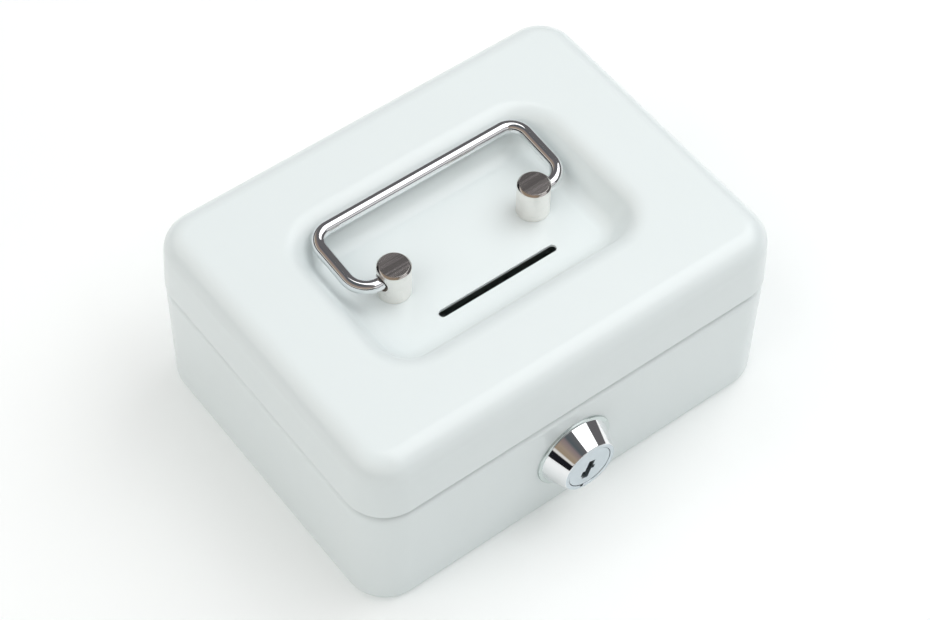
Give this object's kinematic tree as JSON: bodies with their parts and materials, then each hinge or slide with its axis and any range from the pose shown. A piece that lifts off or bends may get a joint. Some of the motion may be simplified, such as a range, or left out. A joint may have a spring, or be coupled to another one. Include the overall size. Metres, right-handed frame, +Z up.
{
  "type": "cash box",
  "caption": "Small white steel cash box with rounded corners, a recessed lid with a coin slot, a folding chrome wire handle and a conical cam lock on the front.",
  "frame": {"origin": "centre of the underside of the box, on the plane it rests on", "axes": "+X to the right seen from the front, -Y towards the front with the lock, +Y towards the hinges, +Z up"},
  "size_m": [0.125, 0.1055, 0.057],
  "materials": {
    "white_enamel": "gloss",
    "polished_chrome": "polished",
    "satin_nickel": "satin turned",
    "satin_plug": "satin",
    "wafer_brass": "plain",
    "zinc_plate": "zinc plated",
    "bright_steel": "bright drawn"
  },
  "bodies": {
    "box": {"box_body": "white_enamel", "left_body_leaf": "zinc_plate", "right_body_leaf": "zinc_plate", "left_hinge_pin": "bright_steel", "right_hinge_pin": "bright_steel", "lock_housing": "polished_chrome", "lock_washer": "zinc_plate", "lock_nut": "zinc_plate"},
    "lid": {"lid": "white_enamel", "left_lid_leaf": "zinc_plate", "right_lid_leaf": "zinc_plate", "left_post": "satin_nickel", "right_post": "satin_nickel", "post_washers": "zinc_plate", "post_screws": "zinc_plate", "lid_catch": "zinc_plate"},
    "handle": {"handle_bail": "polished_chrome"},
    "lock_core": {"lock_plug": "satin_plug", "lock_wafers": "wafer_brass", "wafer_springs": "bright_steel", "stop_washer": "zinc_plate", "lock_cam": "zinc_plate", "cam_screw": "zinc_plate"}
  },
  "joints": [
    {"name": "lid_hinge", "type": "hinge", "parent": "box", "child": "lid", "pos_m": [0, 0.0497, 0.038], "axis": [-1, 0, 0], "range_deg": [0, 105]},
    {"name": "handle_pivot", "type": "hinge", "parent": "lid", "child": "handle", "pos_m": [0, 0.0008, 0.053], "axis": [1, 0, 0], "range_deg": [0, 170]},
    {"name": "lock_turn", "type": "hinge", "parent": "box", "child": "lock_core", "pos_m": [-0.0026, -0.047, 0.0195], "axis": [0, 1, 0], "range_deg": [0, 90]}
  ]
}
